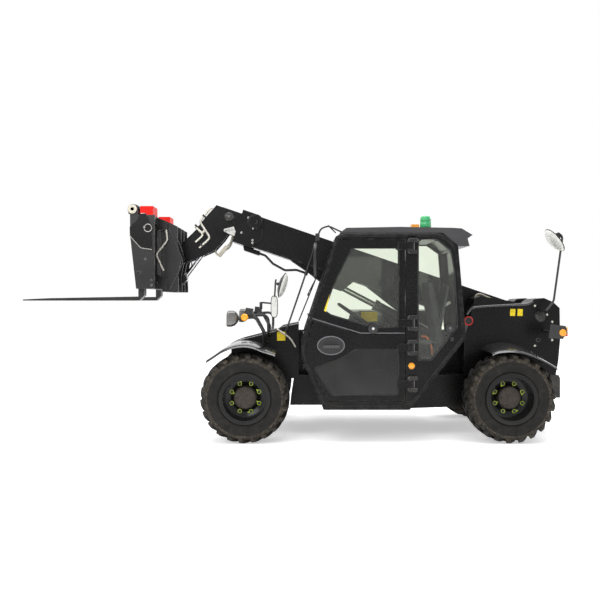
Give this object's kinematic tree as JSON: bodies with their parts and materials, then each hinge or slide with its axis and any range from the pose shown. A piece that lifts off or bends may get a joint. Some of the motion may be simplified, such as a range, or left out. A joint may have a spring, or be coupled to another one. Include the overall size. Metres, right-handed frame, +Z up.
{
  "type": "compact telescopic handler with pallet forks",
  "caption": "Compact rigid-chassis telescopic handler with a side cab, raised telescopic boom, quick hitch and floating pallet forks.",
  "frame": {"origin": "ground level under the middle of the machine's length, forks and tail included, on its centre plane", "axes": "+X to the tail (the forks point to -X), +Y to the engine side, +Z up"},
  "size_m": [5.192, 1.86, 2.281],
  "materials": {
    "black_paint": "satin",
    "dark_casting": "rough",
    "roof_plastic": "matte",
    "guard_plastic": "gloss",
    "tinted_glass": "polished",
    "worn_steel": "worn",
    "red_paint": "gloss",
    "black_barrel": "satin",
    "chrome_rod": "polished",
    "zinc_pipe": "satin",
    "hose_rubber": "matte",
    "seat_cloth": "matte",
    "pad_plastic": "matte",
    "lamp_plastic": "matte",
    "beacon_green": "gloss",
    "rim_paint": "satin",
    "tyre_rubber": "matte"
  },
  "bodies": {
    "chassis": {"chassis": "black_paint", "boom_pivot_pin": "worn_steel", "counterweight": "dark_casting", "front_axle": "dark_casting", "rear_axle": "dark_casting", "cab_shell": "black_paint", "cab_roof": "roof_plastic", "cab_glazing": "tinted_glass", "door_hinges": "worn_steel", "seat": "seat_cloth", "seat_base": "roof_plastic", "steering_column": "roof_plastic", "steering_wheel": "hose_rubber", "console": "roof_plastic", "engine_pod": "black_paint", "engine_block": "dark_casting", "bonnet_hinges": "worn_steel", "side_tank": "black_paint", "mudguards": "guard_plastic", "headlamps": "lamp_plastic", "tail_lamps": "lamp_plastic", "mirrors": "lamp_plastic", "beacon": "beacon_green"},
    "lower_door": {"door_lower": "black_paint", "door_lower_glass": "tinted_glass"},
    "upper_door": {"door_upper": "black_paint", "door_upper_glass": "tinted_glass"},
    "bonnet": {"bonnet": "black_paint"},
    "boom": {"boom_outer": "black_paint", "wear_pads": "pad_plastic", "boom_hose": "hose_rubber"},
    "extension": {"boom_inner": "black_paint", "gooseneck_pipes": "zinc_pipe"},
    "carriage": {"hitch": "worn_steel", "fork_frame": "worn_steel", "frame_caps": "red_paint"},
    "fork_left": {"fork_left": "worn_steel"},
    "fork_right": {"fork_right": "worn_steel"},
    "lift_barrel": {"lift_barrel": "black_barrel"},
    "lift_rod": {"lift_rod": "chrome_rod"},
    "tilt_barrel": {"tilt_barrel": "black_barrel"},
    "tilt_rod": {"tilt_rod": "chrome_rod"},
    "knuckle_front_left": {"knuckle_front_left": "dark_casting"},
    "wheel_front_left": {"rim_front_left": "rim_paint", "tyre_front_left": "tyre_rubber"},
    "knuckle_front_right": {"knuckle_front_right": "dark_casting"},
    "wheel_front_right": {"rim_front_right": "rim_paint", "tyre_front_right": "tyre_rubber"},
    "knuckle_rear_left": {"knuckle_rear_left": "dark_casting"},
    "wheel_rear_left": {"rim_rear_left": "rim_paint", "tyre_rear_left": "tyre_rubber"},
    "knuckle_rear_right": {"knuckle_rear_right": "dark_casting"},
    "wheel_rear_right": {"rim_rear_right": "rim_paint", "tyre_rear_right": "tyre_rubber"}
  },
  "joints": [
    {"name": "steer_front_left", "type": "hinge", "parent": "chassis", "child": "knuckle_front_left", "pos_m": [-0.432, -0.65, 0.41], "axis": [0, 0, 1], "range_deg": [-25, 25]},
    {"name": "spin_front_left", "type": "hinge", "parent": "knuckle_front_left", "child": "wheel_front_left", "pos_m": [-0.432, -0.77, 0.41], "axis": [0, 1, 0], "continuous": true},
    {"name": "steer_front_right", "type": "hinge", "parent": "chassis", "child": "knuckle_front_right", "pos_m": [-0.432, 0.65, 0.41], "axis": [0, 0, 1], "range_deg": [-25, 25]},
    {"name": "spin_front_right", "type": "hinge", "parent": "knuckle_front_right", "child": "wheel_front_right", "pos_m": [-0.432, 0.77, 0.41], "axis": [0, 1, 0], "continuous": true},
    {"name": "steer_rear_left", "type": "hinge", "parent": "chassis", "child": "knuckle_rear_left", "pos_m": [1.998, -0.65, 0.41], "axis": [0, 0, 1], "range_deg": [-25, 25]},
    {"name": "spin_rear_left", "type": "hinge", "parent": "knuckle_rear_left", "child": "wheel_rear_left", "pos_m": [1.998, -0.77, 0.41], "axis": [0, 1, 0], "continuous": true},
    {"name": "steer_rear_right", "type": "hinge", "parent": "chassis", "child": "knuckle_rear_right", "pos_m": [1.998, 0.65, 0.41], "axis": [0, 0, 1], "range_deg": [-25, 25]},
    {"name": "spin_rear_right", "type": "hinge", "parent": "knuckle_rear_right", "child": "wheel_rear_right", "pos_m": [1.998, 0.77, 0.41], "axis": [0, 1, 0], "continuous": true},
    {"name": "boom_lift", "type": "hinge", "parent": "chassis", "child": "boom", "pos_m": [2.4, 0, 1.15], "axis": [0, 1, 0], "range_deg": [-20, 46]},
    {"name": "boom_extend", "type": "slide", "parent": "boom", "child": "extension", "axis": [-0.9466, 0, 0.3223], "range_m": [0, 2]},
    {"name": "carriage_tilt", "type": "hinge", "parent": "extension", "child": "carriage", "pos_m": [-1.195, 0, 1.717], "axis": [0, -1, 0], "range_deg": [-30, 75]},
    {"name": "fork_shift_left", "type": "slide", "parent": "carriage", "child": "fork_left", "axis": [0, 1, 0], "range_m": [-0.06, 0.36]},
    {"name": "fork_shift_right", "type": "slide", "parent": "carriage", "child": "fork_right", "axis": [0, -1, 0], "range_m": [-0.06, 0.36]},
    {"name": "lift_barrel_swing", "type": "hinge", "parent": "chassis", "child": "lift_barrel", "pos_m": [1.95, 0, 0.68], "axis": [0, 1, 0], "range_deg": [-20.54, 46.59]},
    {"name": "lift_rod_slide", "type": "slide", "parent": "lift_barrel", "child": "lift_rod", "axis": [-0.8866, 0, 0.4626], "range_m": [-0.25706, 0.58474]},
    {"name": "tilt_barrel_swing", "type": "hinge", "parent": "extension", "child": "tilt_barrel", "pos_m": [-0.6462, 0, 2.15638], "axis": [0, -1, 0], "range_deg": [-1.32, 0.83]},
    {"name": "tilt_rod_slide", "type": "slide", "parent": "tilt_barrel", "child": "tilt_rod", "axis": [-0.5988, 0, -0.8009], "range_m": [-0.25476, 0.1049]},
    {"name": "door_lower_hinge", "type": "hinge", "parent": "chassis", "child": "lower_door", "pos_m": [1.077, -0.905, 0.712], "axis": [0, 0, 1], "range_deg": [0, 90]},
    {"name": "door_upper_hinge", "type": "hinge", "parent": "chassis", "child": "upper_door", "pos_m": [1.077, -0.905, 1.451], "axis": [0, 0, 1], "range_deg": [0, 175]},
    {"name": "bonnet_hinge", "type": "hinge", "parent": "chassis", "child": "bonnet", "pos_m": [1.105, 0.19, 1.185], "axis": [1, 0, 0], "range_deg": [0, 55]}
  ],
  "couplings": [
    {"joint": "steer_front_right", "follows": "steer_front_left", "ratio": 1},
    {"joint": "steer_rear_right", "follows": "steer_rear_left", "ratio": 1},
    {"joint": "lift_barrel_swing", "follows": "boom_lift", "ratio": 1.002},
    {"joint": "lift_rod_slide", "follows": "boom_lift", "m_per_rad": 0.7221},
    {"joint": "tilt_barrel_swing", "follows": "carriage_tilt", "ratio": -0.011},
    {"joint": "tilt_rod_slide", "follows": "carriage_tilt", "m_per_rad": -0.1908}
  ]
}
